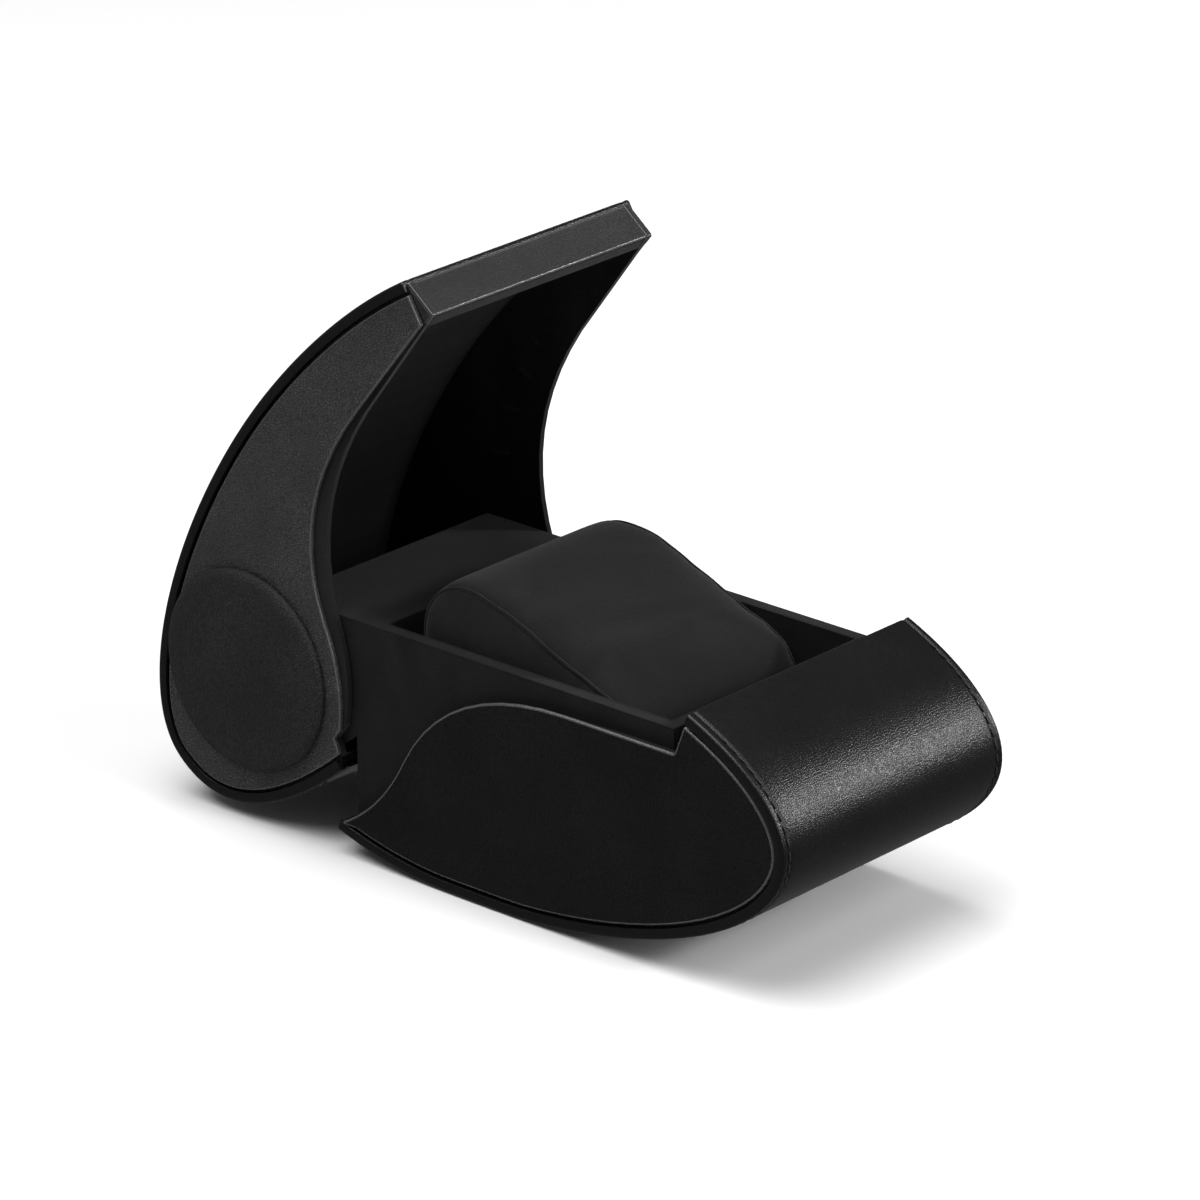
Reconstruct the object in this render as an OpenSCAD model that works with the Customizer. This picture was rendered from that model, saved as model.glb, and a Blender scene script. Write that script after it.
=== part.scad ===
// Curved travel case for one watch: an almond-shaped box whose lid swings up about two side pins.
// Frame: +Z up, closing end towards -Y, hinge end towards +Y, right-hand side towards +X.
// Origin: middle of the flat that the case stands on. All sizes in millimetres.
// The lid is drawn where it lies when the case is shut, then swung open about the hinge.

/* [Overall] */
// Width across the leather-covered sides
body_w = 72.4; // [62:0.1:88]
// Length of the shut case, nose to round end
body_l = 169.6; // [150:0.1:210]
// Height of the shut case
body_h = 70.7; // [64:0.1:86]
// Height of the widest level of the side outline, as a share of the height
mid_share = 0.4922; // [0.45:0.001:0.54]

/* [Leather and board] */
// Thickness of the outer leather strip
leather_t = 1; // [0.6:0.1:1.6]
// Thickness of the stiff board under the outer strip
board_t = 1.5; // [1:0.1:2.2]
// Width of the rolled leather rim seen on each side of the strip
rolled_t = 0.8; // [0.5:0.1:1.4]
// Thickness of the leather on the side panels
panel_t = 1; // [0.6:0.1:1.4]
// How far the side panels sit in from the rolled rim
panel_inset = 0.2; // [0.1:0.1:0.6]
// Width of the groove between a side panel and the rolled rim
groove_w = 0.7; // [0.4:0.1:1.2]
// Thickness of the boards behind the side panels of the lid
side_board_t = 1.3; // [1:0.1:2]
// Thickness of the suede
suede_t = 0.4; // [0.3:0.1:0.8]

/* [Split between lid and base] */
// Depth of the closing face below the top of the nose
lip_h = 9.7; // [7:0.1:12]
// Distance of the closing face from the tip of the nose, as a share of the length
nose_share = 0.158; // [0.14:0.001:0.18]
// Slope of the notch beside the closing face, measured along Y
notch_run = 3.6; // [2:0.1:5]
// Height of the pointed tail of the base
tail_h = 7.2; // [6.6:0.1:8]
// Radius of the turned-up underside of the tail
tail_r = 105; // [90:1:130]
// Length of the turned-up tail, from the standing flat to its tip
tail_run = 33.7; // [31:0.1:36]
// Distance of the tip of the tail ahead of the hinge pins
tail_ahead = 18.3; // [18:0.1:20]
// Most that the side boards of the lid reach below its side panels
rebate = 3.6; // [2:0.1:4.5]
// Gap left along the split on each part
split_gap = 0.3; // [0.2:0.05:0.5]
// Sideways gap between the lid's side boards and the base's side panels
rub_gap = 0.2; // [0.1:0.05:0.4]
// Thickness of the bar in the lid's closing lip
lip_bar_t = 2.8; // [2.4:0.1:3]
// Thickness of the bar in the closing end of the base
end_bar_t = 4.5; // [3:0.1:8]
// Clearance under the closing lip when shut
slot_gap = 1.6; // [0.6:0.1:3]

/* [Hinge] */
// Distance of the hinge pins from the round end, as a share of the length
hinge_back = 0.1462; // [0.14:0.0001:0.16]
// Height of the hinge pins, as a share of the height of the shut case
hinge_share = 0.2362; // [0.225:0.0001:0.26]
// How far the lid stands open at rest, in degrees
open_angle = 51.5; // [30:0.5:52]
// Radius of a hinge pin
pin_r = 2; // [1.5:0.1:2.2]
// Radius of the head of a hinge pin
pin_head_r = 4.2; // [3.4:0.1:5]
// Running clearance of a pin in its bush
pin_gap = 0.05; // [0.03:0.01:0.09]
// Outer radius of a hinge bush
bush_r = 3.5; // [3:0.1:4]
// Length of a hinge bush
bush_l = 9; // [6:0.5:12]
// Outer radius of a hinge washer
washer_r = 4.6; // [4:0.1:5.4]
// Radius of the lug around each hinge pin
lug_r = 5.4; // [4.8:0.1:5.6]
// Distance from the hinge to the end of the lid's strip
strip_reach = 20; // [17:0.1:20.2]

/* [Padded discs] */
// Radius of the padded disc on each side of the lid
disc_r = 23.3; // [14:0.1:25]
// How far a disc stands out from its side panel
disc_t = 2.2; // [0.8:0.1:3]
// Distance of the disc centre from the hinge, towards the nose
disc_ahead = 10; // [8:0.1:11]
// Height of the disc centre above the hinge
disc_above = 18.15; // [17:0.05:20]

/* [Tray] */
// Thickness of the boards between the tray and the side panels of the base
base_board_t = 2; // [1.8:0.1:4]
// Height of the tray rim, as a share of the height of the shut case
rim_share = 0.7709; // [0.72:0.0001:0.78]
// Thickness of the boards that the tray is made of
tray_board_t = 2.4; // [1.6:0.1:3]
// Distance of the tray front from the closing face
slot_w = 6.1; // [5.6:0.1:8]
// Rear end of the pocket, measured from the hinge
pocket_rear = 28.2; // [26:0.1:32]
// Lower rear edge of the tray, measured from the hinge
tray_heel = 21.6; // [21:0.1:23]
// Length of the blocks that hold the hinge bushes, along the case
block_l = 7.5; // [5:0.1:8]
// Height of the blocks that hold the hinge bushes
block_h = 18; // [12:0.5:22]
// Clearance between moving sides
side_gap = 0.4; // [0.3:0.05:0.6]

/* [Cushion] */
// Clearance between the cushion and the pocket sides
cushion_gap = 1.1; // [0.6:0.1:3]
// Depth of the cushion's crest below the top of the shut case
cushion_drop = 4.5; // [4.2:0.1:10]
// Gap behind the cushion
cushion_back = 5.2; // [4.6:0.1:8]
// Gap in front of the cushion
cushion_ahead = 10.9; // [5:0.1:20]

/* [Magnets] */
// Radius of a closing magnet
magnet_r = 2; // [1.5:0.1:2]
// Thickness of a closing magnet
magnet_t = 1.8; // [1:0.1:2]
// Distance between the two magnets of a pair
magnet_pitch = 36; // [20:1:42]

/* [Hidden] */

$fn = 64;
far = 200;
steps = 20;
curve_steps = 10;

half_w = body_w / 2;
half_l = body_l / 2;
mid_h = mid_share * body_h;
top_rise = body_h - mid_h;
// The outline dips this far below the floor, so that the floor cuts a flat
flat_dip = 0.3;
// Roundness of the outline: 2 is an ellipse, more is fuller
nose_round = 1.94;
back_round = 1.9;
heel_round = 2.4;

strip_t = leather_t + board_t;
lining_in = strip_t + suede_t;
panel_out = half_w - panel_inset;
panel_in = panel_out - panel_t;
rim_x = half_w - rolled_t;
tray_x = panel_in - base_board_t;
wall_x = tray_x - suede_t;
pocket_x = wall_x - tray_board_t;
lining_x = tray_x + side_gap;
lid_board_out = panel_in - rub_gap;
lid_board_in = lid_board_out - side_board_t;

close_y = nose_share * body_l - half_l;
hinge = [half_l - hinge_back * body_l, hinge_share * body_h];
tail = [hinge.x - tail_ahead, tail_h];
flat_end = tail.x - tail_run;
close_top = outline_z(close_y);
ledge_z = close_top - lip_h;
notch = [close_y + notch_run, ledge_z];

// Tray stations along Y
tray_front = close_y + slot_w;
front_wall_in = tray_front + suede_t + tray_board_t;
pocket_back = hinge.x - pocket_rear;
rear_board_y = hinge.x - 0.2;
tray_rear = rear_board_y + suede_t;
heel_y = hinge.x - tray_heel;
rim_h = rim_share * body_h;
floor_h = under_z(front_wall_in) + 1.2 * strip_t;
board_top = rim_h - suede_t;

slot_floor_z = ledge_z - slot_gap;
bar_face_y = close_y - split_gap - leather_t;
foot_t = 3;
lid_front = close_y + split_gap;
lid_bar_y = lid_front + leather_t;
lip_back_y = lid_bar_y + lip_bar_t;
// Height above the hinge that the open lid's strip needs at the heel of the tray
strip_room = 11.2;
magnet_z = ledge_z + leather_t + magnet_r + 0.2;

// ---- Curves -------------------------------------------------------------

// Height of the top of the outline, and of its underside, at a station on the nose side
function outline_z(y) =
    mid_h + top_rise * pow(1 - pow(abs(y) / half_l, nose_round), 1 / nose_round);
function under_z(y) = mid_h
    - (mid_h + flat_dip) * pow(1 - pow(abs(y) / half_l, nose_round), 1 / nose_round);

// One point of the side outline; turn 0 is the round end, 90 the top, 180 the nose
function half_h(turn) = turn <= 180 ? top_rise : mid_h + flat_dip;
function roundness(turn) =
    turn > 90 && turn <= 270 ? nose_round : (turn <= 90 ? back_round : heel_round);
function signed_pow(v, p) = sign(v) * pow(abs(v), p);
function outline_point(turn) = [
    half_l * signed_pow(cos(turn), 2 / roundness(turn)),
    half_h(turn) * signed_pow(sin(turn), 2 / roundness(turn))
];
function outline_normal(p, turn) = let(
    n = roundness(turn),
    v = [
        signed_pow(p.x / half_l, n - 1) / half_l,
        signed_pow(p.y / half_h(turn), n - 1) / half_h(turn)
    ]
) v / norm(v);

// The side outline moved inwards by depth, kept depth above the floor
function inset_point(turn, depth) = let(
    p = outline_point(turn),
    q = p - depth * outline_normal(p, turn)
) [q.x, max(depth, q.y + mid_h)];
function outline(depth) =
    [for (i = [0 : 4 * steps - 1]) inset_point((i + 0.02) * 90 / steps, depth)];

function bezier(a, b, c, d, t) =
    pow(1 - t, 3) * a + 3 * pow(1 - t, 2) * t * b + 3 * (1 - t) * t * t * c + t * t * t * d;

// The split: a rising wave from the tail to the ledge, then the notch up to the top
crest_start = [close_y + 34, ledge_z];
crest_end = [tail.x - 19.3, tail_h + 19.9];
wave = concat(
    [for (i = [0 : curve_steps - 1])
        bezier(tail, tail + [-11.2, 5.8], crest_end + [3, -5.7], crest_end, i / curve_steps)],
    [for (i = [0 : curve_steps])
        bezier(crest_end, crest_end + [-8.4, 16], crest_start + [22, 0], crest_start,
               i / curve_steps)],
    [notch + [15, 0], notch, [close_y, close_top]]
);
last = len(wave) - 1;
ledge_last = last - 1;

// A point of the split swung towards closing by a distance along its own arc about the hinge
function swung(p, distance) = let(
    arm = p - hinge,
    angle = distance / norm(arm) * 180 / PI
) hinge + [
    arm.x * cos(angle) - arm.y * sin(angle),
    arm.x * sin(angle) + arm.y * cos(angle)
];
// The reach below the split is greatest half-way along it and nothing at both ends
function reach(i) = i >= ledge_last ? 0 : sin(180 * i / ledge_last);
function split(gap, depth) =
    [for (i = [0 : last]) swung(wave[i], gap + depth * reach(i))];

// ---- Flat shapes in the side plane: x is the case's Y, y is its Z --------

module shut_outline(depth) {
    polygon(outline(depth));
}

// Everything below the split, on the nose side
module below_split(gap, depth) {
    edge = split(gap, depth);
    polygon(concat(
        [[edge[0].x, -far]],
        edge,
        [[edge[last].x, far], [-far, far], [-far, -far]]
    ));
}

// Everything above the split, out to the lid's strip end
module above_split(gap, depth) {
    edge = split(-gap, depth);
    polygon(concat(
        [[edge[0].x, -far]],
        edge,
        [[edge[last].x, far], [far, far], [far, -far]]
    ));
}

// The base follows the outline to the end of its flat, then the turned-up tail
module tail_space(depth) {
    difference() {
        translate([flat_end, -far])
            square([far, 2 * far]);
        translate([flat_end, tail_r])
            circle(r = tail_r - depth, $fn = 360);
    }
}

module base_outline(depth) {
    difference() {
        shut_outline(depth);
        difference() {
            tail_space(depth);
            translate([flat_end - 1, tail_h])
                square(far);
        }
    }
}

// The lid's outline ends where its strip has to pass the tail of the base
module strip_end_space() {
    difference() {
        translate([-far, -far])
            square([far + hinge.x, far + tail_h + 2]);
        translate(hinge)
            circle(r = strip_reach, $fn = 90);
    }
}

module lid_outline(depth) {
    difference() {
        shut_outline(depth);
        strip_end_space();
    }
}

// ---- Placing -------------------------------------------------------------

// Raises a flat side shape into a slab between two X stations
module slab(from_x, to_x) {
    translate([from_x, 0, 0])
        rotate([90, 0, 90])
            linear_extrude(to_x - from_x)
                children();
}

// A slab on one side of the case: side is -1 on the left and 1 on the right
module side_slab(side, near_x, far_x) {
    slab(min(side * near_x, side * far_x), max(side * near_x, side * far_x))
        children();
}

// A round bar along X at a place in the side plane
module cross_bar(side, place, near_x, far_x, r) {
    translate([min(side * near_x, side * far_x), place.x, place.y])
        rotate([0, 90, 0])
            cylinder(h = abs(far_x - near_x), r = r);
}

// Swings a part of the lid from shut to its rest position
module opened() {
    translate([0, hinge.x, hinge.y])
        rotate([-open_angle, 0, 0])
            translate([0, -hinge.x, -hinge.y])
                children();
}

// ---- Base ----------------------------------------------------------------

module base_strip_shape(outer, inner) {
    difference() {
        intersection() {
            base_outline(outer);
            strip_zone();
        }
        base_outline(inner);
    }
}

// Where the base's strip runs: under the tail and round the nose to the closing face
module strip_zone() {
    translate([-far, -far])
        square([far + tail.x, far + mid_h]);
    translate([-far, -far])
        square([far + close_y - split_gap, 2 * far]);
}

module base_cover() {
    color([0.07, 0.07, 0.075]) {
        slab(-half_w, half_w)
            base_strip_shape(0, leather_t);
        for (side = [-1, 1])
            side_slab(side, rim_x, half_w)
                base_strip_shape(leather_t, strip_t);
    }
}

module base_shell_board() {
    color([0.35, 0.3, 0.24])
        slab(-rim_x, rim_x)
            base_strip_shape(leather_t, strip_t);
}

module base_side_shape(depth, gap, reach_down) {
    intersection() {
        base_outline(depth);
        below_split(gap, reach_down);
    }
}

// The side boards leave the notch beside the closing face to the lid's lip
module base_side_board(side) {
    color([0.35, 0.3, 0.24])
        side_slab(side, tray_x, panel_in)
            difference() {
                base_side_shape(strip_t, 2 * split_gap, rebate);
                translate([close_y - split_gap, ledge_z - 1])
                    square(far);
            }
}

module base_side_panel(side) {
    color([0.09, 0.09, 0.095])
        side_slab(side, panel_in, panel_out)
            base_side_shape(strip_t + groove_w, split_gap, 0);
}

// Upright bar behind the closing face, with a foot under the slot for the lid's lip
module base_end_bar() {
    foot_z = slot_floor_z - leather_t - foot_t;
    color([0.35, 0.3, 0.24])
        difference() {
            slab(-tray_x, tray_x)
                intersection() {
                    shut_outline(strip_t);
                    translate([bar_face_y - end_bar_t, foot_z]) {
                        square([end_bar_t, far]);
                        square([tray_front - bar_face_y + end_bar_t, foot_t]);
                    }
                }
            magnet_pair(bar_face_y - magnet_t, bar_face_y);
        }
}

module base_end_facing() {
    color([0.07, 0.07, 0.075])
        slab(-tray_x, tray_x)
            intersection() {
                shut_outline(strip_t);
                translate([bar_face_y, slot_floor_z - leather_t]) {
                    square([leather_t, far]);
                    square([tray_front - bar_face_y, leather_t]);
                }
            }
}

// Two discs side by side, faces across Y
module magnet_pair(from_y, to_y) {
    for (x = [-magnet_pitch / 2, magnet_pitch / 2])
        translate([x, to_y, magnet_z])
            rotate([90, 0, 0])
                cylinder(h = to_y - from_y, r = magnet_r);
}

module base_magnets() {
    color([0.75, 0.75, 0.78])
        magnet_pair(bar_face_y - magnet_t, bar_face_y);
}

// ---- Tray ----------------------------------------------------------------

// Side view of the tray: box in front, cut away below the shelf for the lid's strip
module tray_side() {
    intersection() {
        base_outline(strip_t);
        translate([tray_front + suede_t, 0])
            square([heel_y - tray_front - suede_t, board_top]);
    }
    polygon([
        [heel_y - 1, board_top],
        [heel_y - 1, hinge.y + strip_room],
        [heel_y, hinge.y + strip_room],
        [hinge.x - lug_r * 0.7, hinge.y - lug_r * 0.6],
        [hinge.x, hinge.y - lug_r * 0.5],
        [rear_board_y, hinge.y],
        [rear_board_y, board_top]
    ]);
    translate(hinge)
        circle(r = lug_r);
}

module tray_wall(side) {
    color([0.35, 0.3, 0.24])
        difference() {
            side_slab(side, pocket_x, wall_x)
                tray_side();
            cross_bar(side, hinge, pocket_x - 1, wall_x + 1, bush_r);
        }
}

module tray_skin(side) {
    color([0.05, 0.05, 0.05])
        difference() {
            side_slab(side, wall_x, tray_x)
                tray_side();
            cross_bar(side, hinge, wall_x - 1, tray_x + 1, bush_r);
        }
}

// The front of the tray stands on the board of the strip
module tray_front_shape(from_y, thickness) {
    intersection() {
        base_outline(strip_t);
        translate([from_y, floor_h])
            square([thickness, board_top - floor_h]);
    }
}

module tray_front_wall() {
    color([0.35, 0.3, 0.24])
        slab(-pocket_x, pocket_x)
            tray_front_shape(tray_front + suede_t, tray_board_t);
}

module pocket_rear_wall() {
    color([0.35, 0.3, 0.24])
        slab(-pocket_x, pocket_x)
            translate([pocket_back, floor_h])
                square([tray_board_t, board_top - floor_h]);
}

module pocket_floor() {
    color([0.35, 0.3, 0.24])
        slab(-pocket_x, pocket_x)
            translate([front_wall_in, floor_h])
                square([pocket_back - front_wall_in, tray_board_t]);
}

module shelf_board() {
    color([0.35, 0.3, 0.24])
        slab(-pocket_x, pocket_x)
            translate([pocket_back + tray_board_t, board_top - tray_board_t])
                square([rear_board_y - pocket_back - tray_board_t, tray_board_t]);
}

module rear_wall_board() {
    color([0.35, 0.3, 0.24])
        slab(-pocket_x, pocket_x)
            translate([rear_board_y - tray_board_t, hinge.y + lug_r])
                square([tray_board_t, board_top - tray_board_t - hinge.y - lug_r]);
}

module tray_skin_front() {
    color([0.05, 0.05, 0.05])
        slab(-tray_x, tray_x)
            tray_front_shape(tray_front, suede_t);
}

module tray_skin_rear() {
    color([0.05, 0.05, 0.05])
        slab(-tray_x, tray_x)
            translate([rear_board_y, hinge.y + lug_r])
                square([suede_t, board_top - hinge.y - lug_r]);
}

module hinge_block(side) {
    color([0.5, 0.42, 0.3])
        difference() {
            side_slab(side, pocket_x - bush_l, pocket_x) {
                translate(hinge)
                    circle(r = lug_r);
                translate([rear_board_y - tray_board_t - block_l, hinge.y])
                    square([block_l, block_h]);
            }
            cross_bar(side, hinge, pocket_x - bush_l - 1, pocket_x + 1, bush_r);
        }
}

module hinge_bush(side) {
    color([0.78, 0.62, 0.3])
        difference() {
            cross_bar(side, hinge, tray_x - bush_l, tray_x, bush_r);
            cross_bar(side, hinge, tray_x - bush_l - 1, tray_x + 1, pin_r + pin_gap);
        }
}

// Suede over the rim of the walls and over the rear shelf
module tray_rim_suede() {
    color([0.06, 0.06, 0.06])
        difference() {
            translate([-tray_x, tray_front, board_top])
                cube([2 * tray_x, tray_rear - tray_front, suede_t]);
            translate([-pocket_x, front_wall_in, board_top - 1])
                cube([2 * pocket_x, pocket_back - front_wall_in, suede_t + 2]);
        }
}

module pocket_lining() {
    color([0.05, 0.05, 0.05])
        difference() {
            translate([-pocket_x, front_wall_in, floor_h + tray_board_t])
                cube([2 * pocket_x, pocket_back - front_wall_in, rim_h - floor_h - tray_board_t]);
            translate([-pocket_x + suede_t, front_wall_in + suede_t,
                       floor_h + tray_board_t + suede_t])
                cube([2 * (pocket_x - suede_t), pocket_back - front_wall_in - 2 * suede_t, far]);
        }
}

// ---- Cushion -------------------------------------------------------------

cushion_x = pocket_x - suede_t - cushion_gap;
cushion_rear = pocket_back - suede_t - cushion_back;
cushion_front = front_wall_in + suede_t + cushion_ahead;
cushion_top = body_h - cushion_drop;
cushion_floor = floor_h + tray_board_t + suede_t + 0.2;

// Side view of the cushion: a wedge with a round crest at the back, lower in front
module cushion_shape() {
    crest = [cushion_rear - 12.5, cushion_top];
    brow = [cushion_front + 9, cushion_top - 13.7];
    polygon(concat(
        [[cushion_rear - 3, cushion_floor], [cushion_rear, cushion_floor + 3]],
        [for (i = [0 : curve_steps])
            bezier([cushion_rear, cushion_top - 13], [cushion_rear, cushion_top - 4],
                   crest + [6, 0], crest, i / curve_steps)],
        [for (i = [1 : curve_steps])
            bezier(crest, crest + [-12, 0], brow + [18, 6.5], brow, i / curve_steps)],
        [for (i = [1 : curve_steps])
            bezier(brow, brow + [-5, -1.8], [cushion_front, cushion_top - 18],
                   [cushion_front, cushion_top - 27], i / curve_steps)],
        [[cushion_front, cushion_floor + 3], [cushion_front + 3, cushion_floor]]
    ));
}

module watch_cushion() {
    color([0.06, 0.06, 0.06])
        slab(-cushion_x, cushion_x)
            cushion_shape();
}

// ---- Lid, drawn shut -----------------------------------------------------

module lid_strip_shape(outer, inner, front) {
    difference() {
        intersection() {
            lid_outline(outer);
            lid_strip_zone(front);
        }
        shut_outline(inner);
    }
}

// Where the lid's strip runs: from its front end over the top, round the end, to the tail
module lid_strip_zone(front) {
    translate([front, ledge_z])
        square([2 * far, far]);
    translate([tail.x, -far])
        square([2 * far, 2 * far]);
}

module lid_cover() {
    color([0.07, 0.07, 0.075])
        opened() {
            slab(-half_w, half_w)
                lid_strip_shape(0, leather_t, lid_front);
            for (side = [-1, 1])
                side_slab(side, rim_x, half_w)
                    lid_strip_shape(leather_t, strip_t, lid_front);
        }
}

module lid_shell_board() {
    color([0.35, 0.3, 0.24])
        opened()
            slab(-rim_x, rim_x)
                lid_strip_shape(leather_t, strip_t, lid_bar_y);
}

// Suede inside the strip, over the back of the lip bar and under it
module lid_lining() {
    color([0.03, 0.03, 0.03])
        opened()
            slab(-lining_x, lining_x) {
                lid_strip_shape(strip_t, lining_in, lip_back_y);
                intersection() {
                    shut_outline(strip_t);
                    translate([lip_back_y, ledge_z])
                        square([suede_t, far]);
                }
                translate([lid_bar_y, ledge_z])
                    square([lip_bar_t, suede_t]);
            }
}

module lid_side_shape(depth, gap, reach_down) {
    intersection() {
        lid_outline(depth);
        above_split(gap, reach_down);
    }
}

// Side boards and linings start behind the lip's facing
module lid_board_shape() {
    intersection() {
        lid_side_shape(strip_t, 0, rebate);
        translate([lid_bar_y, -far])
            square([far, 2 * far]);
    }
}

module lid_side_board(side) {
    color([0.35, 0.3, 0.24])
        opened()
            difference() {
                side_slab(side, lid_board_in, lid_board_out)
                    lid_board_shape();
                cross_bar(side, hinge, lid_board_in - 1, lid_board_out + 1, pin_head_r);
            }
}

module lid_side_lining(side) {
    color([0.03, 0.03, 0.03])
        opened()
            difference() {
                side_slab(side, lining_x, lid_board_in)
                    lid_board_shape();
                cross_bar(side, hinge, lining_x - 1, lid_board_in + 1, pin_r);
            }
}

module lid_side_panel(side) {
    color([0.09, 0.09, 0.095])
        opened()
            side_slab(side, lid_board_out, panel_out)
                lid_side_shape(strip_t + groove_w, split_gap, 0);
}

module lid_lip_bar() {
    color([0.35, 0.3, 0.24])
        opened()
            difference() {
                slab(-lining_x, lining_x)
                    intersection() {
                        shut_outline(strip_t);
                        translate([lid_bar_y, ledge_z + suede_t])
                            square([lip_bar_t, far]);
                    }
                magnet_pair(lid_bar_y, lid_bar_y + magnet_t);
            }
}

// Leather over the front of the lip, folded round its two slanted ends
module lid_lip_facing() {
    color([0.07, 0.07, 0.075])
        opened() {
            slab(-lid_board_out, lid_board_out)
                intersection() {
                    shut_outline(leather_t);
                    translate([lid_front, ledge_z])
                        square([leather_t, far]);
                }
            for (side = [-1, 1])
                side_slab(side, lining_x, lid_board_out)
                    intersection() {
                        below_split(0, 0);
                        translate([lid_bar_y, ledge_z])
                            square(far);
                    }
        }
}

module lid_magnets() {
    color([0.75, 0.75, 0.78])
        opened()
            magnet_pair(lid_bar_y, lid_bar_y + magnet_t);
}

// Round padded cap that hides the hinge pin
module padded_disc(side) {
    edge_r = min(1, disc_t * 0.7);
    color([0.1, 0.1, 0.105])
        opened()
            translate([side * panel_out, hinge.x - disc_ahead, hinge.y + disc_above])
                rotate([0, side * 90, 0])
                    rotate_extrude($fn = 96) {
                        square([disc_r - edge_r, disc_t]);
                        square([disc_r, disc_t - edge_r]);
                        translate([disc_r - edge_r, disc_t - edge_r])
                            intersection() {
                                circle(r = edge_r, $fn = 32);
                                square(edge_r);
                            }
                    }
}

module hinge_pin(side) {
    color([0.7, 0.7, 0.72])
        opened() {
            cross_bar(side, hinge, tray_x - bush_l, lid_board_in, pin_r);
            cross_bar(side, hinge, lid_board_in, lid_board_out, pin_head_r);
        }
}

module hinge_washer(side) {
    color([0.85, 0.85, 0.8])
        opened()
            difference() {
                cross_bar(side, hinge, tray_x + side_gap * 0.25, lining_x, washer_r);
                cross_bar(side, hinge, tray_x - 1, lining_x + 1, pin_r);
            }
}

base_cover();
base_shell_board();
base_side_board(-1);  // base_side_board_left
base_side_board(1);  // base_side_board_right
base_side_panel(-1);  // base_side_panel_left
base_side_panel(1);  // base_side_panel_right
base_end_bar();
base_end_facing();
base_magnets();
tray_wall(-1);  // tray_wall_left
tray_wall(1);  // tray_wall_right
tray_front_wall();
pocket_rear_wall();
pocket_floor();
shelf_board();
rear_wall_board();
hinge_block(-1);  // hinge_block_left
hinge_block(1);  // hinge_block_right
hinge_bush(-1);  // hinge_bush_left
hinge_bush(1);  // hinge_bush_right
tray_skin(-1);  // tray_skin_left
tray_skin(1);  // tray_skin_right
tray_skin_front();
tray_skin_rear();
tray_rim_suede();
pocket_lining();
watch_cushion();
lid_cover();
lid_shell_board();
lid_side_board(-1);  // lid_side_board_left
lid_side_board(1);  // lid_side_board_right
lid_side_panel(-1);  // lid_side_panel_left
lid_side_panel(1);  // lid_side_panel_right
lid_side_lining(-1);  // lid_side_lining_left
lid_side_lining(1);  // lid_side_lining_right
lid_lining();
lid_lip_bar();
lid_lip_facing();
lid_magnets();
padded_disc(-1);  // padded_disc_left
padded_disc(1);  // padded_disc_right
hinge_pin(-1);  // hinge_pin_left
hinge_pin(1);  // hinge_pin_right
hinge_washer(-1);  // hinge_washer_left
hinge_washer(1);  // hinge_washer_right
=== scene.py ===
"""Looks for the jewelry box: leather strips, suede tray and lid, foam cushion."""
import math

import bmesh
import bpy
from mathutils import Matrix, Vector
from mathutils.bvhtree import BVHTree


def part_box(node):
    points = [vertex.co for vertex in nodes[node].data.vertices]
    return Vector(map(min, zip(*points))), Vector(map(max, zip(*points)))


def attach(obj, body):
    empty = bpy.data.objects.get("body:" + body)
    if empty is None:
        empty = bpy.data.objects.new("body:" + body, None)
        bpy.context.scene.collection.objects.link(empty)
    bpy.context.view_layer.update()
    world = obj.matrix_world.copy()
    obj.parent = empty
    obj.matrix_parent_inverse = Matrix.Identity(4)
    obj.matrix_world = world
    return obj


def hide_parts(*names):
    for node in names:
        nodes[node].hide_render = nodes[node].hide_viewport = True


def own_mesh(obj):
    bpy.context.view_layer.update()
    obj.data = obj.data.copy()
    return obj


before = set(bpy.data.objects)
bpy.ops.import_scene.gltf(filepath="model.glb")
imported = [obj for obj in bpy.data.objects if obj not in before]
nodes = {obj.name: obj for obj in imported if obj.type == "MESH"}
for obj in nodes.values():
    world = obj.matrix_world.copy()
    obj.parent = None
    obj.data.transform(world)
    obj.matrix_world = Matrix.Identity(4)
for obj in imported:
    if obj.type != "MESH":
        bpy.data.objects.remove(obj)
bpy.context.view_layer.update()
MM = 0.001


# ---- Materials ------------------------------------------------------------

def new_material(name):
    mat = bpy.data.materials.new(name)
    mat.use_nodes = True
    tree = mat.node_tree
    return mat, tree, tree.nodes["Principled BSDF"]


def add(tree, kind, inputs=(), **settings):
    node = tree.nodes.new(kind)
    for key, value in settings.items():
        setattr(node, key, value)
    for key, value in dict(inputs).items():
        if isinstance(value, bpy.types.NodeSocket):
            tree.links.new(value, node.inputs[key])
        else:
            node.inputs[key].default_value = value
    return node


def ramp(tree, source, low, high, out_low, out_high):
    return add(tree, "ShaderNodeMapRange", {
        "Value": source, "From Min": low, "From Max": high,
        "To Min": out_low, "To Max": out_high}).outputs["Result"]


def mix_colour(tree, factor, dark, light):
    node = add(tree, "ShaderNodeMix", data_type="RGBA")
    tree.links.new(factor, node.inputs["Factor"])
    node.inputs["A"].default_value = (*dark, 1)
    node.inputs["B"].default_value = (*light, 1)
    return node.outputs["Result"]


def place(tree, stretch=(1, 1, 1)):
    coords = add(tree, "ShaderNodeTexCoord")
    return add(tree, "ShaderNodeMapping", {
        "Vector": coords.outputs["Object"], "Scale": stretch}).outputs["Vector"]


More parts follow.
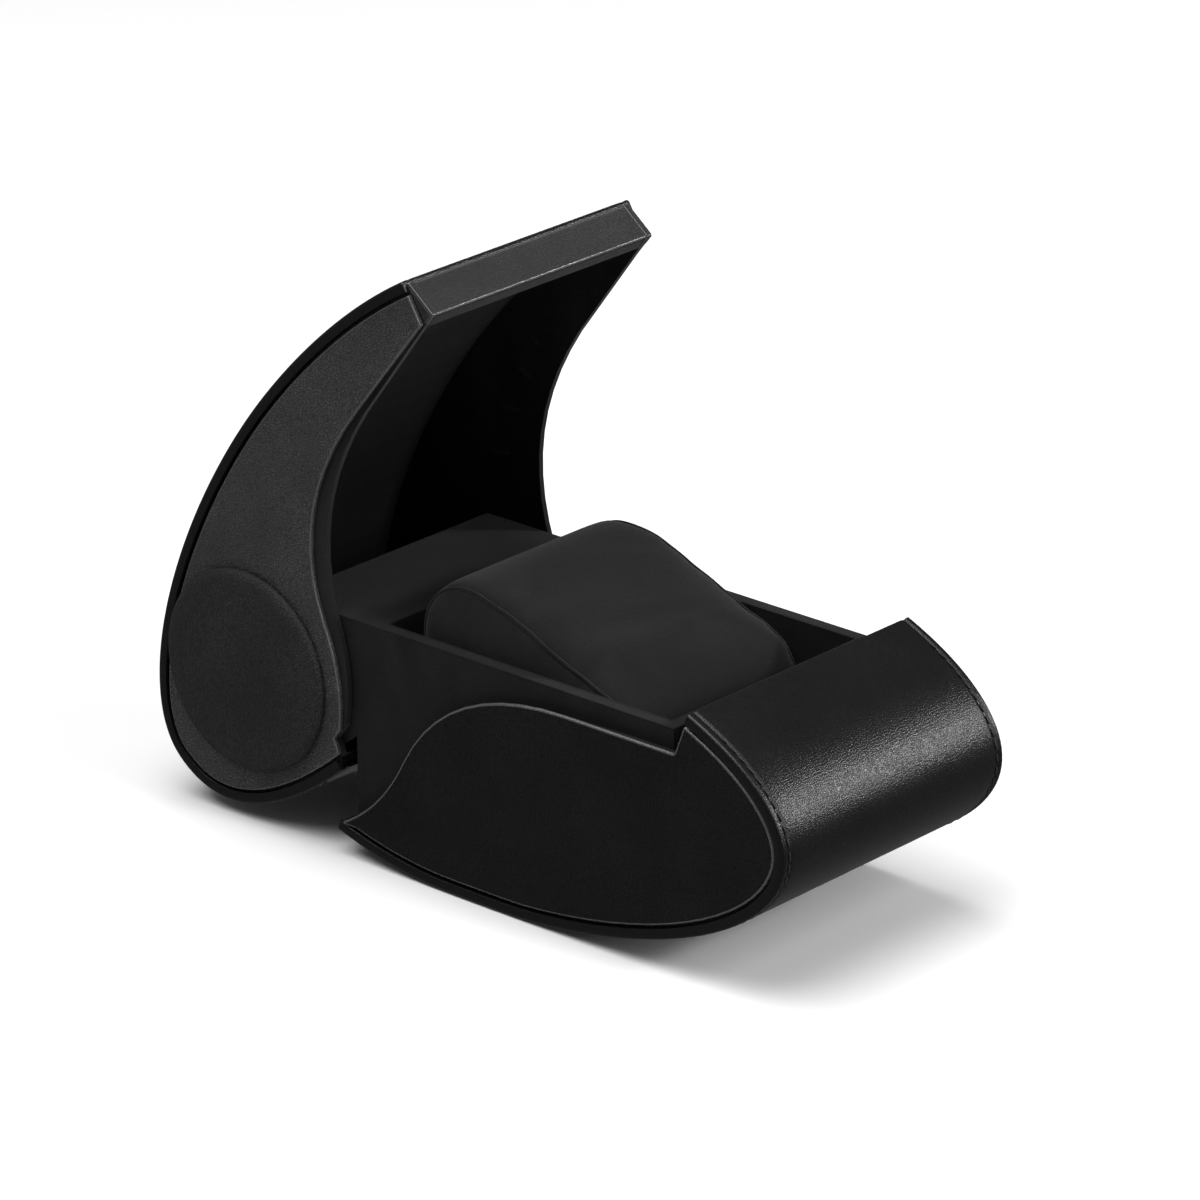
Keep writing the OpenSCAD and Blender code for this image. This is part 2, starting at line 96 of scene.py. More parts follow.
def leather(name, dark, light, grain_mm, grain_depth, rough, crease=0.0, gloss=0.3):
    """Grained leather: rounded cells with fine pores, uneven sheen and faint long creases."""
    mat, tree, shader = new_material(name)
    at = place(tree)
    cells = add(tree, "ShaderNodeTexVoronoi", {
        "Vector": at, "Scale": 1 / (grain_mm * MM), "Randomness": 0.9},
        feature="DISTANCE_TO_EDGE")
    pores = add(tree, "ShaderNodeTexNoise", {
        "Vector": at, "Scale": 2.6 / (grain_mm * MM), "Detail": 3, "Roughness": 0.6})
    broad = add(tree, "ShaderNodeTexNoise", {
        "Vector": at, "Scale": 55, "Detail": 4, "Roughness": 0.55})
    folds = add(tree, "ShaderNodeTexNoise", {
        "Vector": place(tree, (0.5, 1.4, 1.4)), "Scale": 190, "Detail": 5,
        "Roughness": 0.6, "Distortion": 0.6})
    cell_height = ramp(tree, cells.outputs["Distance"], 0, 0.28, 0, 1)
    grain = add(tree, "ShaderNodeMath", {0: cell_height, 1: pores.outputs["Fac"]},
                operation="ADD").outputs[0]
    bump = add(tree, "ShaderNodeBump", {
        "Height": grain, "Distance": grain_depth * MM, "Strength": 0.7})
    if crease:
        bump = add(tree, "ShaderNodeBump", {
            "Height": folds.outputs["Fac"], "Distance": crease * MM, "Strength": 0.8,
            "Normal": bump.outputs["Normal"]})
    tree.links.new(bump.outputs["Normal"], shader.inputs["Normal"])
    fleck = ramp(tree, pores.outputs["Fac"], 0.36, 0.66, 0.25, 1.7)
    soft = add(tree, "ShaderNodeMath", {0: broad.outputs["Fac"], 1: cell_height},
               operation="MULTIPLY").outputs[0]
    shade = add(tree, "ShaderNodeMath", {0: soft, 1: fleck}, operation="MULTIPLY").outputs[0]
    tree.links.new(mix_colour(tree, shade, dark, light), shader.inputs["Base Color"])
    tree.links.new(ramp(tree, broad.outputs["Fac"], 0.2, 0.8, rough - 0.03, rough + 0.03),
                   shader.inputs["Roughness"])
    shader.inputs["Specular IOR Level"].default_value = gloss
    return mat


def suede(name, dark, light, sheen, nap=0.35):
    """Microfibre suede: short nap, brushed patches that read lighter or darker, soft sheen."""
    mat, tree, shader = new_material(name)
    at = place(tree)
    fibres = add(tree, "ShaderNodeTexNoise", {
        "Vector": at, "Scale": 1 / (nap * MM), "Detail": 4, "Roughness": 0.7})
    patches = add(tree, "ShaderNodeTexNoise", {
        "Vector": place(tree, (1, 1.6, 0.8)), "Scale": 42, "Detail": 3,
        "Roughness": 0.5, "Distortion": 0.8})
    mixed = add(tree, "ShaderNodeMath", {0: fibres.outputs["Fac"], 1: patches.outputs["Fac"]},
                operation="MULTIPLY").outputs[0]
    tone = ramp(tree, mixed, 0.12, 0.4, 0, 1)
    tree.links.new(mix_colour(tree, tone, dark, light), shader.inputs["Base Color"])
    bump = add(tree, "ShaderNodeBump", {
        "Height": fibres.outputs["Fac"], "Distance": 0.12 * MM, "Strength": 0.8})
    tree.links.new(bump.outputs["Normal"], shader.inputs["Normal"])
    tree.links.new(ramp(tree, patches.outputs["Fac"], 0.3, 0.7, 0.88, 0.98),
                   shader.inputs["Roughness"])
    shader.inputs["Specular IOR Level"].default_value = 0.15
    shader.inputs["Sheen Weight"].default_value = sheen
    shader.inputs["Sheen Roughness"].default_value = 0.45
    return mat


def metal(name, colour, rough, stretch=(1, 1, 1)):
    mat, tree, shader = new_material(name)
    marks = add(tree, "ShaderNodeTexNoise", {
        "Vector": place(tree, stretch), "Scale": 1800, "Detail": 4, "Roughness": 0.6})
    shader.inputs["Metallic"].default_value = 1
    darker = tuple(0.8 * c for c in colour)
    tree.links.new(mix_colour(tree, marks.outputs["Fac"], darker, colour),
                   shader.inputs["Base Color"])
    tree.links.new(ramp(tree, marks.outputs["Fac"], 0.3, 0.7, rough - 0.05, rough + 0.1),
                   shader.inputs["Roughness"])
    bump = add(tree, "ShaderNodeBump", {
        "Height": marks.outputs["Fac"], "Distance": 0.01 * MM, "Strength": 0.4})
    tree.links.new(bump.outputs["Normal"], shader.inputs["Normal"])
    return mat


def board(name, dark, light):
    """Pressed fibreboard: short fibres and flecks."""
    mat, tree, shader = new_material(name)
    flecks = add(tree, "ShaderNodeTexNoise", {
        "Vector": place(tree, (1, 0.3, 0.3)), "Scale": 1500, "Detail": 6, "Roughness": 0.7})
    tree.links.new(mix_colour(tree, flecks.outputs["Fac"], dark, light),
                   shader.inputs["Base Color"])
    tree.links.new(ramp(tree, flecks.outputs["Fac"], 0.3, 0.7, 0.75, 0.95),
                   shader.inputs["Roughness"])
    bump = add(tree, "ShaderNodeBump", {
        "Height": flecks.outputs["Fac"], "Distance": 0.06 * MM, "Strength": 0.6})
    tree.links.new(bump.outputs["Normal"], shader.inputs["Normal"])
    return mat


STRIP = leather("strip_leather", (0.0015, 0.0015, 0.0016), (0.006, 0.006, 0.0062),
                0.5, 0.035, 0.30, gloss=0.40)
PANEL = leather("panel_leather", (0.023, 0.023, 0.0234), (0.09, 0.09, 0.0915),
                0.7, 0.25, 0.55, crease=0.05, gloss=0.25)
DISC = leather("disc_leather", (0.012, 0.012, 0.0122), (0.042, 0.042, 0.0425),
               0.7, 0.16, 0.48, crease=0.05, gloss=0.2)
BASE_PANEL = leather("base_panel_leather", (0.0045, 0.0045, 0.0047), (0.016, 0.016, 0.0165),
                     0.65, 0.1, 0.5, crease=0.05, gloss=0.16)
# edge material: a lighter base colour than the leathers it rounds off, a painted highlight
# along the bevelled edges; its high gloss is the leather's own
EDGE_PAINTED_HIGHLIGHT = leather("edge_leather_painted_highlight", (0.045, 0.045, 0.046), (0.13, 0.13, 0.132),
               0.4, 0.03, 0.26, crease=0.02, gloss=0.9)
LIP = leather("lip_leather", (0.014, 0.014, 0.0143), (0.066, 0.066, 0.067),
              0.55, 0.2, 0.55, crease=0.1, gloss=0.2)
THREAD = leather("thread", (0.012, 0.012, 0.0125), (0.04, 0.04, 0.041), 0.25, 0.03, 0.4)
TRAY_SUEDE = suede("tray_suede", (0.003, 0.003, 0.003), (0.010, 0.010, 0.010), 0.07)
RIM_SUEDE = suede("rim_suede", (0.003, 0.003, 0.003), (0.011, 0.011, 0.011), 0.08)
LID_SUEDE = suede("lid_suede", (0.003, 0.003, 0.003), (0.011, 0.011, 0.011), 0.06)
WALL_SUEDE = suede("lid_wall_suede", (0.004, 0.004, 0.004), (0.014, 0.014, 0.014), 0.08)
PAD_SUEDE = suede("cushion_suede", (0.0035, 0.0035, 0.0035), (0.012, 0.012, 0.012), 0.10)
BOARD = board("fibreboard", (0.2, 0.15, 0.09), (0.42, 0.33, 0.22))
STEEL = metal("pin_steel", (0.6, 0.6, 0.62), 0.35, (0.2, 1, 1))
NICKEL = metal("magnet_nickel", (0.68, 0.68, 0.7), 0.2)
BRASS = metal("bush_brass", (0.7, 0.5, 0.22), 0.3, (0.2, 1, 1))
PLASTIC = leather("washer_plastic", (0.6, 0.6, 0.57), (0.7, 0.7, 0.67), 0.3, 0.005, 0.5)


# ---- Mesh helpers ----------------------------------------------------------

def own_material(obj, mat):
    obj.data.materials.clear()
    obj.data.materials.append(mat)


def round_edges(obj, radius_mm, segments=3, angle=35, edge_slot=-1):
    """Softens the edges of a CAD mesh with modifiers only, so its own vertices stay."""
    weld = obj.modifiers.new("weld", "WELD")
    weld.merge_threshold = 1e-6
    flat = obj.modifiers.new("flat", "DECIMATE")
    flat.decimate_type = "DISSOLVE"
    flat.angle_limit = math.radians(0.3)
    bevel = obj.modifiers.new("bevel", "BEVEL")
    bevel.width = radius_mm * MM
    bevel.segments = segments
    bevel.limit_method = "ANGLE"
    bevel.angle_limit = math.radians(angle)
    bevel.use_clamp_overlap = True
    bevel.miter_outer = "MITER_ARC"
    # the bevel faces take the material in edge_slot; where that is the edge leather they carry
    # its painted highlight
    bevel.material = edge_slot
    normals = obj.modifiers.new("normals", "WEIGHTED_NORMAL")
    normals.keep_sharp = False
    normals.weight = 60


def dress(names, mat, radius_mm=0.0, segments=3, edge=None):
    for name in names:
        obj = nodes[name]
        own_material(obj, mat)
        # a given edge material goes in slot 1 for the bevel faces and paints a highlight on
        # them
        if edge:
            obj.data.materials.append(edge)
        for polygon in obj.data.polygons:
            polygon.use_smooth = True
        if radius_mm:
            round_edges(obj, radius_mm, segments, edge_slot=1 if edge else -1)
        else:
            obj.data.set_sharp_from_angle(angle=math.radians(35))


def both(stem):
    return [stem + "_left", stem + "_right"]


def new_object(name, mesh_or_bm, mat):
    if isinstance(mesh_or_bm, bmesh.types.BMesh):
        mesh = bpy.data.meshes.new(name)
        bmesh.ops.recalc_face_normals(mesh_or_bm, faces=mesh_or_bm.faces)
        mesh_or_bm.to_mesh(mesh)
        mesh_or_bm.free()
    else:
        mesh = mesh_or_bm
    obj = bpy.data.objects.new(name, mesh)
    bpy.context.scene.collection.objects.link(obj)
    own_material(obj, mat)
    for polygon in mesh.polygons:
        polygon.use_smooth = True
    return obj


def side_loop(name):
    """The outline of a CAD node's face on its +X side, as an ordered loop of (y, z)."""
    bm = bmesh.new()
    bm.from_mesh(nodes[name].data)
    bmesh.ops.remove_doubles(bm, verts=bm.verts, dist=1e-6)
    top = max(v.co.x for v in bm.verts)
    side = {f for f in bm.faces if all(abs(v.co.x - top) < 1e-6 for v in f.verts)}
    after = {}
    for f in side:
        for loop in f.loops:
            edge_faces = [g for g in loop.edge.link_faces if g in side]
            if len(edge_faces) == 1:
                after[loop.vert.index] = loop.link_loop_next.vert.index
    points = {v.index: (v.co.y, v.co.z) for v in bm.verts}
    bm.free()
    start = min(after)
    chain = [start]
    while after[chain[-1]] != start:
        chain.append(after[chain[-1]])
    return [Vector(points[i]) for i in chain]


def longest_run(loop, corner=40):
    """The longest stretch of a closed loop between corners sharper than an angle."""
    count = len(loop)
    corners = []
    for i in range(count):
        a = loop[i] - loop[i - 1]
        b = loop[(i + 1) % count] - loop[i]
        if a.angle(b) > math.radians(corner):
            corners.append(i)
    runs = []
    for k, first in enumerate(corners):
        last = corners[(k + 1) % len(corners)]
        size = (last - first) % count
        run = [loop[(first + j) % count] for j in range(size + 1)]
        runs.append((sum((q - p).length for p, q in zip(run, run[1:])), run))
    return max(runs, key=lambda item: item[0])[1]


def resample(path, step):
    """Evenly spaced points along a polyline, about one step apart."""
    lengths = [0.0]
    for p, q in zip(path, path[1:]):
        lengths.append(lengths[-1] + (q - p).length)
    count = max(2, round(lengths[-1] / step))
    result, k = [], 0
    for i in range(count + 1):
        s = lengths[-1] * i / count
        while k < len(path) - 2 and lengths[k + 1] < s:
            k += 1
        t = (s - lengths[k]) / max(1e-12, lengths[k + 1] - lengths[k])
        result.append(path[k].lerp(path[k + 1], min(1, max(0, t))))
    return result


def relax(path, rounds):
    """Smooths a polyline; its two ends stay."""
    for _ in range(rounds):
        inner = [(a + 2 * b + c) / 4 for a, b, c in zip(path, path[1:], path[2:])]
        path = [path[0], *inner, path[-1]]
    return path


def outward(path, centre):
    """Unit normals of a polyline in the side plane, pointing away from a centre."""
    normals = []
    for i, p in enumerate(path):
        along = path[min(i + 1, len(path) - 1)] - path[max(i - 1, 0)]
        n = Vector((along.y, -along.x)).normalized()
        normals.append(n if n.dot(p - centre) > 0 else -n)
    return normals


# ---- Leather strips --------------------------------------------------------

BASE_MIDDLE = Vector((-0.02, 0.035))
STITCH_MIDDLE = Vector((0.0, 0.035))
half_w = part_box("lid_cover")[1].x
rim_w = 0.8 * MM
leather_t = 1.0 * MM
strip_t = 2.5 * MM
stitch_in = 2.1 * MM
path_step = 1.5 * MM
rounded_tip = 0.6 * MM
square_tip = 0.3 * MM


def strip_profile():
    """Cross-section of a strip: (x, depth) with rolled edges and sunk stitch lines."""
    edge = half_w
    right = []
    radius = 0.75 * MM
    right.append((edge - rim_w, strip_t))
    right.append((edge - 0.25 * MM, strip_t))
    right.append((edge - 0.06 * MM, strip_t - 0.08 * MM))
    right.append((edge, strip_t - 0.3 * MM))
    for i in range(7):
        a = math.radians(90 * i / 6)
        right.append((edge - radius + radius * math.cos(a), radius - radius * math.sin(a)))
    for inset, depth in ((1.2, 0.0), (1.55, 0.06), (1.85, 0.24), (2.1, 0.3), (2.35, 0.24),
                         (2.7, 0.06), (3.2, 0.0), (6, 0.0), (12, 0.0), (20, 0.0), (28, 0.0)):
        right.append((edge - inset * MM, depth * MM))
    left = [(-x, d) for x, d in reversed(right)]
    inner = [(-(edge - rim_w), leather_t), (edge - rim_w, leather_t)]
    return right + left + inner


def sweep(name, path, normals, profile, mat, corner):
    """A strip along a path, with its last corners rounded in plan by a radius."""
    bm = bmesh.new()
    rings = []
    for p, n in zip(path, normals):
        short = max(0.0, corner - (path[-1] - p).length)
        inset = corner - math.sqrt(corner ** 2 - short ** 2)
        shrink = 1 - inset / half_w
        rings.append([bm.verts.new((x * shrink, *(p - d * n))) for x, d in profile])
    count = len(profile)
    for a, b in zip(rings, rings[1:]):
        for j in range(count):
            k = (j + 1) % count
            bm.faces.new((a[j], a[k], b[k], b[j]))
    bm.faces.new(rings[0])
    bm.faces.new(list(reversed(rings[-1])))
    return new_object(name, bm, mat)


def stitch_row(bm, path, x, pitch=2.9 * MM, long=2.1 * MM, wide=0.55 * MM):
    """Short rounded threads in a row along a path, half sunk, each tilted a little."""
    points = resample(path, pitch)
    frames = list(zip(points, outward(points, STITCH_MIDDLE)))
    sides, rings = 8, 6
    for i in range(1, len(frames) - 1):
        p, n = frames[i]
        along = (frames[i + 1][0] - frames[i - 1][0]).normalized()
        t3, n3, x3 = Vector((0, *along)), Vector((0, *n)), Vector((1, 0, 0))
        t3 = (t3 + 0.10 * x3).normalized()
        centre = Vector((x, *p)) - n3 * 0.10 * MM
        grid = []
        for r in range(rings + 1):
            u = math.pi * r / rings
            out = math.sin(u) ** 0.6
            ring = []
            for s in range(sides):
                a = 2 * math.pi * s / sides
                off = (x3 * math.cos(a) + n3 * math.sin(a) * 0.8) * out * wide / 2
                ring.append(bm.verts.new(centre - t3 * math.cos(u) * long / 2 + off))
            grid.append(ring)
        for a, b in zip(grid, grid[1:]):
            for s in range(sides):
                k = (s + 1) % sides
                bm.faces.new((a[s], a[k], b[k], b[s]))
        bm.faces.new(list(reversed(grid[0])))
        bm.faces.new(grid[-1])


for part, node, body in (("lid", "lid_cover", "lid"), ("base", "base_cover", "base")):
    outer = relax(resample(longest_run(side_loop(node)), path_step), 6)
    if part == "lid":
        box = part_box("lid_side_panel_left")
        middle = Vector(((box[0].y + box[1].y) / 2 + 0.02, (box[0].z + box[1].z) / 2 - 0.02))
    else:
        middle = BASE_MIDDLE
    tip = [outer[-2].lerp(outer[-1], t) for t in (0.3, 0.5, 0.7, 0.85, 0.95)]
    outer = [*outer[:-1], *tip, outer[-1]]
    normals = outward(outer, middle)
    strip = sweep(part + "_strip", outer, normals, strip_profile(), STRIP,
                  rounded_tip if part == "lid" else square_tip)
    strip.data.set_sharp_from_angle(angle=math.radians(50))
    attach(strip, body)
    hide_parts(node)
    rows = bmesh.new()
    for x in (-half_w + stitch_in, half_w - stitch_in):
        stitch_row(rows, outer[4:-8], x)
    thread = new_object(part + "_stitches", rows, THREAD)
    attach(thread, body)


# ---- Padded discs ----------------------------------------------------------

def make_disc(side, name):
    """A padded disc with a rolled, undercut edge."""
    low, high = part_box(name)
    radius = (high.y - low.y) / 2
    mid = (low + high) / 2
    seat_x = low.x if side > 0 else high.x
    thick = high.x - low.x
    roll = 2.8 * MM
    belly = 0.8 * MM
    crown = 0.25 * MM
    profile = [(radius * share, thick + crown * (1 - share ** 4))
               for share in (0.1, 0.2, 0.35, 0.5, 0.65, 0.75, 0.83)]
    for i in range(15):
        a = math.radians(88 - 122 * i / 14)
        height = thick - belly if a > 0 else belly / math.sin(math.radians(34))
        profile.append((radius - roll + roll * math.cos(a), belly + height * math.sin(a)))
    bm = bmesh.new()
    sides = 128
    rings = []
    for r, h in profile:
        rings.append([bm.verts.new((seat_x + side * h,
                                    mid.y + r * math.cos(2 * math.pi * s / sides),
                                    mid.z + r * math.sin(2 * math.pi * s / sides)))
                      for s in range(sides)])
    top = bm.verts.new((seat_x + side * (thick + crown), mid.y, mid.z))
    for s in range(sides):
        k = (s + 1) % sides
        bm.faces.new((top, rings[0][s], rings[0][k]))
        for a, b in zip(rings, rings[1:]):
            bm.faces.new((a[s], b[s], b[k], a[k]))
    bm.faces.new(rings[-1])
    obj = new_object(name.replace("padded_disc", "disc_pad"), bm, DISC)
    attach(obj, "lid")
    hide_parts(name)


for side, name in ((-1, "padded_disc_left"), (1, "padded_disc_right")):
    make_disc(side, name)


# ---- Cushion ---------------------------------------------------------------

def prism(loop, low_x, high_x):
    bm = bmesh.new()
    a = [bm.verts.new((low_x, *p)) for p in loop]
    b = [bm.verts.new((high_x, *p)) for p in loop]
    for i in range(len(loop)):
        k = (i + 1) % len(loop)
        bm.faces.new((a[i], a[k], b[k], b[i]))
    bm.faces.new(list(reversed(a)))
    bm.faces.new(b)
    bmesh.ops.recalc_face_normals(bm, faces=bm.faces)
    return bm


def inflate(obj, voxel, pressure, most):
    """Voxel remesh, then a short cloth run under pressure; no point moves more than most."""
    remesh = obj.modifiers.new("remesh", "REMESH")
    remesh.mode = "VOXEL"
    remesh.voxel_size = voxel
    apply_modifiers(obj)
    start = [v.co.copy() for v in obj.data.vertices]
    cloth = obj.modifiers.new("cloth", "CLOTH")
    cloth.settings.effector_weights.gravity = 0
    cloth.settings.use_pressure = True
    cloth.settings.uniform_pressure_force = pressure
    cloth.settings.tension_stiffness = 20
    cloth.settings.compression_stiffness = 20
    cloth.settings.bending_stiffness = 2
    cloth.point_cache.frame_start = 1
    cloth.point_cache.frame_end = 20
    for number in range(1, 21):
        bpy.context.scene.frame_set(number)
    apply_modifiers(obj)
    for v, was in zip(obj.data.vertices, start):
        move = v.co - was
        if move.length > most:
            v.co = was + move * (most / move.length)
    bpy.context.scene.frame_set(1)


def apply_modifiers(obj):
    graph = bpy.context.evaluated_depsgraph_get()
    mesh = bpy.data.meshes.new_from_object(obj.evaluated_get(graph))
    obj.modifiers.clear()
    obj.data = mesh


pad_low, pad_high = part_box("watch_cushion")
pad_loop = side_loop("watch_cushion")
pad_floor = pad_low.z
LIFT = 1.04
shape = [Vector((p.x, pad_floor + (p.y - pad_floor) * LIFT)) for p in pad_loop]
middle = Vector(((pad_low.y + pad_high.y) / 2, (pad_low.z + pad_high.z) / 2))
shape = [middle + (p - middle) * 0.975 for p in shape]
half_pad = pad_high.x
cushion = new_object("cushion_pad", prism(shape, -half_pad + 0.9 * MM, half_pad - 0.9 * MM),
                     PAD_SUEDE)
inflate(cushion, 3.0 * MM, 4.0, 1.6 * MM)
smooth = cushion.modifiers.new("smooth", "CORRECTIVE_SMOOTH")
smooth.iterations = 4
smooth.use_only_smooth = True
apply_modifiers(cushion)
subdivide = cushion.modifiers.new("subdivide", "SUBSURF")
subdivide.levels = 1
subdivide.render_levels = 1
apply_modifiers(cushion)
for polygon in cushion.data.polygons:
    polygon.use_smooth = True


def tube(bm, path, radius, sides=8):
    """A closed round cord through a loop of points."""
    count = len(path)
    rings = []
    for i, p in enumerate(path):
        along = (path[(i + 1) % count] - path[i - 1]).normalized()
        first = along.cross(Vector((1, 0, 0)))
        first = first.normalized() if first.length > 1e-6 else Vector((0, 0, 1))
        second = along.cross(first)
        rings.append([bm.verts.new(p + (first * math.cos(2 * math.pi * s / sides)
                                        + second * math.sin(2 * math.pi * s / sides)) * radius)
                      for s in range(sides)])
    for i in range(count):
        a, b = rings[i], rings[(i + 1) % count]
        for s in range(sides):
            k = (s + 1) % sides
            bm.faces.new((a[s], a[k], b[k], b[s]))


tree = BVHTree.FromObject(cushion, bpy.context.evaluated_depsgraph_get())
seams = bmesh.new()
welt_r = 0.45 * MM
welt_in = 1.6 * MM
closed = resample([*shape, shape[0]], 1.2 * MM)[:-1]
for side in (-1, 1):
    on_pad = []
    for p in closed:
        inward = (middle - p).normalized()
        aim = p + inward * welt_in
        hit = tree.ray_cast(Vector((side * (half_pad + 0.01), *aim)), Vector((-side, 0, 0)))[0]
        on_pad.append(hit if hit else Vector((side * half_pad, *aim)))
    for _ in range(4):
        on_pad = [(on_pad[i - 1] + 2 * on_pad[i] + on_pad[(i + 1) % len(on_pad)]) / 4
                  for i in range(len(on_pad))]
    tube(seams, on_pad, welt_r)
welt = new_object("cushion_welt", seams, PAD_SUEDE)
for piece in (cushion, welt):
    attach(piece, "base")
    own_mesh(piece)
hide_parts("watch_cushion")


# ---- Folded ends of the lip and pull marks in the lining ----------------------

def capsule(bm, start, end, side_way, width, height):
    """A low rounded ridge between two points; side_way is the direction it rises in."""
    along = (end - start).normalized()
    across = along.cross(side_way).normalized()
    long = (end - start).length
    grid, sides, rings = [], 10, 8
    for r in range(rings + 1):
        u = math.pi * r / rings
        spot = start.lerp(end, 0.5) - along * math.cos(u) * long / 2
        out = max(0.05, math.sin(u)) ** 0.6
        turns = [2 * math.pi * k / sides for k in range(sides)]
        grid.append([bm.verts.new(spot + (across * math.cos(t) * width / 2
                                          + side_way * math.sin(t) * height) * out)
                     for t in turns])
    for a, b in zip(grid, grid[1:]):
        for k in range(sides):
            j = (k + 1) % sides
            bm.faces.new((a[k], a[j], b[j], b[k]))
    bm.faces.new(list(reversed(grid[0])))
    bm.faces.new(grid[-1])


face_loop = side_loop("lid_lip_facing")
upper = max(face_loop, key=lambda p: p.y)
front = min(face_loop, key=lambda p: p.x)
lower = min(face_loop, key=lambda p: p.y)
fold_w = 1.7 * MM
fold_t = 0.22 * MM
fold_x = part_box("lid_lip_facing")[1].x - 0.05 * MM
slope = (front - upper).normalized()
lift = Vector((slope.y, -slope.x))
if lift.x > 0:
    lift = -lift
drop = (lower - front).normalized()
fold_end = front.lerp(lower, 0.9)
fold = [upper + lift * fold_t, front + lift * fold_t, front + slope * fold_t + drop * fold_t,
        fold_end + slope * fold_t, fold_end - slope * 0.4 * MM, upper - lift * 0.6 * MM]
for side in (-1, 1):
    ends = sorted((side * fold_x, side * (fold_x - fold_w)))
    bm = bmesh.new()
    rows = [[bm.verts.new((x, *p)) for p in fold] for x in ends]
    for k in range(len(fold)):
        j = (k + 1) % len(fold)
        bm.faces.new((rows[0][k], rows[0][j], rows[1][j], rows[1][k]))
    bm.faces.new(list(reversed(rows[0])))
    bm.faces.new(rows[1])
    flap = new_object("lip_fold_" + ("left" if side < 0 else "right"), bm, LIP)
    # the fold's rounded edges take the edge leather, whose lighter colour is a painted
    # highlight
    flap.data.materials.append(EDGE_PAINTED_HIGHLIGHT)
    round_edges(flap, 0.2, 4, 30, 1)
    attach(flap, "lid")

marks = bmesh.new()
mark_w = 1.0 * MM
mark_t = 0.28 * MM
wall_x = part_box("lid_side_lining_right")[0].x
for a, b in (((47.3, 99.2), (44.8, 97.7)), ((51.4, 91.2), (46.9, 89.4)),
             ((56.3, 80.9), (50.0, 80.8)), ((58.7, 69.2), (53.6, 70.0))):
    capsule(marks, Vector((wall_x, a[0] * MM, a[1] * MM)),
            Vector((wall_x, b[0] * MM, b[1] * MM)), Vector((-1, 0, 0)), mark_w, mark_t)
pulls = new_object("lining_pulls", marks, WALL_SUEDE)
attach(pulls, "lid")


# ---- CAD nodes that keep their shape ----------------------------------------

# the edge leather on the bevels of these panels and facings is a painted highlight: a lighter
# base colour along their rounded edges
dress(both("base_side_panel"), BASE_PANEL, 0.55, 5, EDGE_PAINTED_HIGHLIGHT)
dress(both("lid_side_panel"), PANEL, 0.45, 4, EDGE_PAINTED_HIGHLIGHT)
dress(["base_end_facing", "lid_lip_facing"], LIP, 0.4, 4, EDGE_PAINTED_HIGHLIGHT)
# the underside of the lip facing is lined like the inside of the lid
nodes["lid_lip_facing"].data.materials.append(LID_SUEDE)
for polygon in nodes["lid_lip_facing"].data.polygons:
    if polygon.normal.y < -0.5 and polygon.normal.z < -0.3:
        polygon.material_index = 2
dress(["base_shell_board", "lid_shell_board"], STRIP, 0.2)
dress(both("base_side_board"), TRAY_SUEDE, 0.4)
dress(both("tray_wall"), TRAY_SUEDE, 0.2)
dress(both("tray_skin") + ["tray_skin_front", "tray_skin_rear", "pocket_lining"], TRAY_SUEDE)
dress(["tray_rim_suede"], RIM_SUEDE, 0.18)
dress(both("lid_side_board"), WALL_SUEDE, 0.3)
dress(both("lid_side_lining"), LID_SUEDE, 0.1)
dress(["lid_lining"], LID_SUEDE)
dress(["base_end_bar", "lid_lip_bar",
       "tray_front_wall", "pocket_rear_wall", "pocket_floor", "shelf_board",
       "rear_wall_board"], BOARD, 0.15)
dress(both("hinge_block"), TRAY_SUEDE, 0.3)
dress(["base_magnets", "lid_magnets"], NICKEL, 0.15)
dress(both("hinge_pin"), STEEL, 0.2)
dress(both("hinge_bush"), BRASS, 0.15)
dress(both("hinge_washer"), PLASTIC)


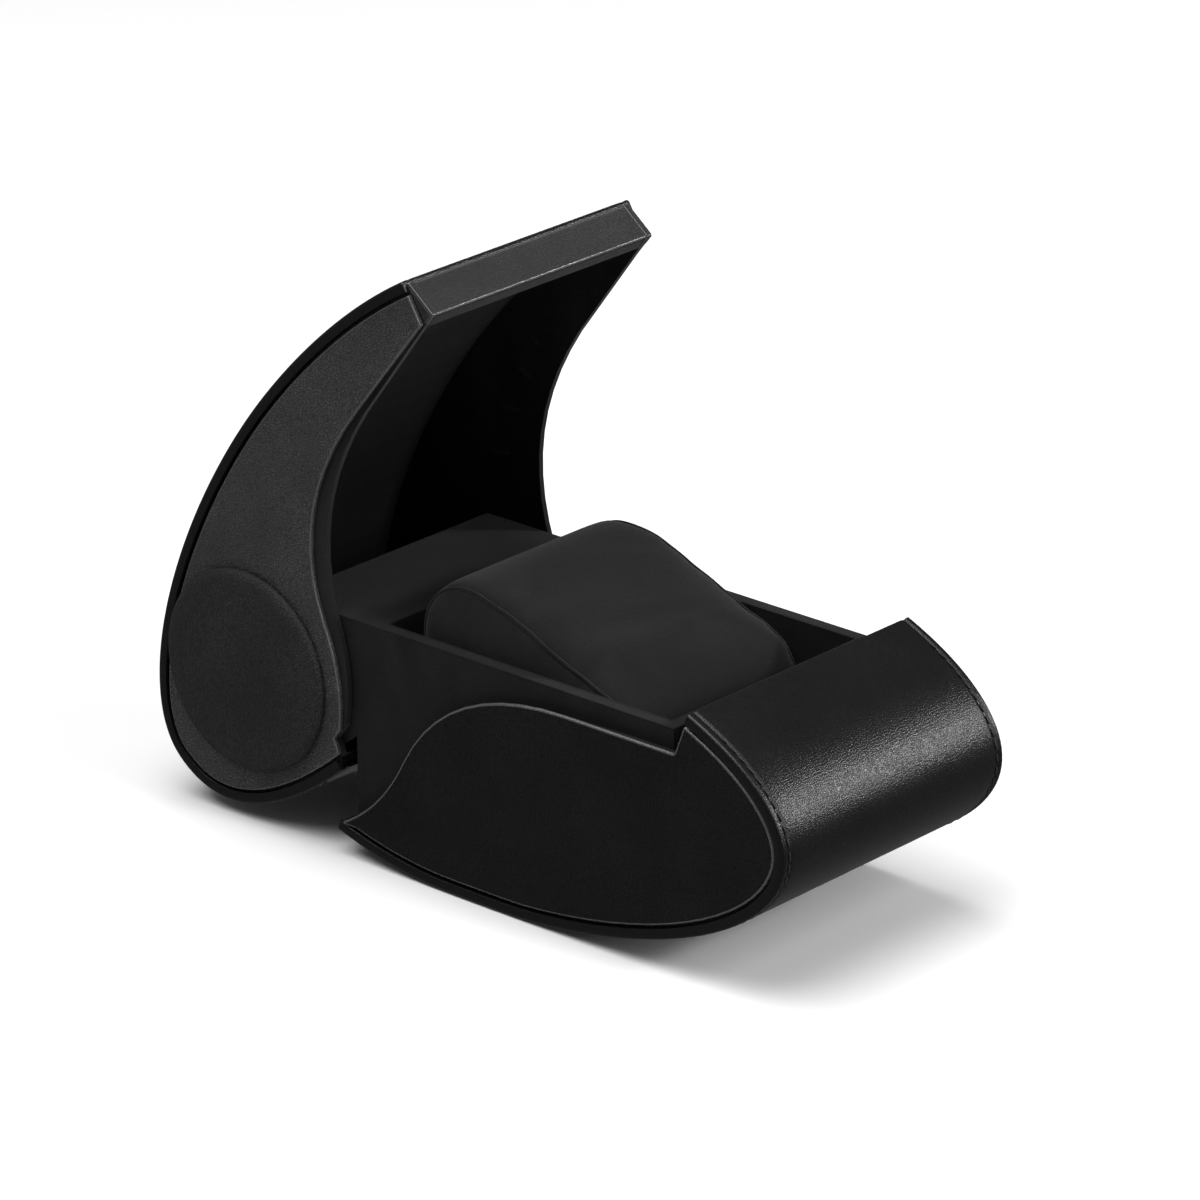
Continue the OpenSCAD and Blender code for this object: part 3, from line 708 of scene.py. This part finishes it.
# ---- Floor, lights and camera -----------------------------------------------

def floor():
    bm = bmesh.new()
    bmesh.ops.create_grid(bm, x_segments=2, y_segments=2, size=6)
    mat, tree, shader = new_material("floor")
    speckle = add(tree, "ShaderNodeTexNoise", {
        "Vector": place(tree), "Scale": 3, "Detail": 2})
    tree.links.new(mix_colour(tree, speckle.outputs["Fac"], (0.92, 0.92, 0.92),
                              (0.94, 0.94, 0.94)), shader.inputs["Base Color"])
    shader.inputs["Roughness"].default_value = 0.9
    obj = new_object("floor", bm, mat)
    obj.location.z = -0.0002
    # left out of reflections, so the low leather does not mirror the pale floor
    obj.visible_glossy = False


def area_light(name, place_at, aim, size, power):
    data = bpy.data.lights.new(name, "AREA")
    data.shape = "RECTANGLE"
    data.size, data.size_y = size
    data.energy = power
    obj = bpy.data.objects.new(name, data)
    bpy.context.scene.collection.objects.link(obj)
    obj.location = place_at
    obj.rotation_mode = "QUATERNION"
    obj.rotation_quaternion = (Vector(aim) - Vector(place_at)).to_track_quat("-Z", "Y")
    return obj


floor()
area_light("top", (-0.35, 0.2, 1.6), (0, 0, 0.03), (1.6, 1.6), 34)
area_light("right", (0.875, -0.83, 0.53), (0, -0.08, 0.045), (0.22, 0.12), 7)
area_light("front", (0.05, -1.1, 0.75), (-0.036, 0.062, 0.03), (0.16, 0.9), 7)
bpy.context.scene.view_settings.view_transform = "Standard"
world = bpy.data.worlds.new("studio")
world.use_nodes = True
world.node_tree.nodes["Background"].inputs["Color"].default_value = (1, 1, 1, 1)
world.node_tree.nodes["Background"].inputs["Strength"].default_value = 0.14
bpy.context.scene.world = world

camera_data = bpy.data.cameras.new("camera")
camera_data.lens = 210
camera_data.sensor_width = 36
camera_data.clip_end = 50
camera = bpy.data.objects.new("camera", camera_data)
bpy.context.scene.collection.objects.link(camera)
camera.location = (-1.0415, -0.9219, 0.6182)
camera.rotation_mode = "QUATERNION"
camera.rotation_quaternion = Vector((0.69563, 0.61412, -0.37278)).to_track_quat("-Z", "Y")
bpy.context.scene.camera = camera
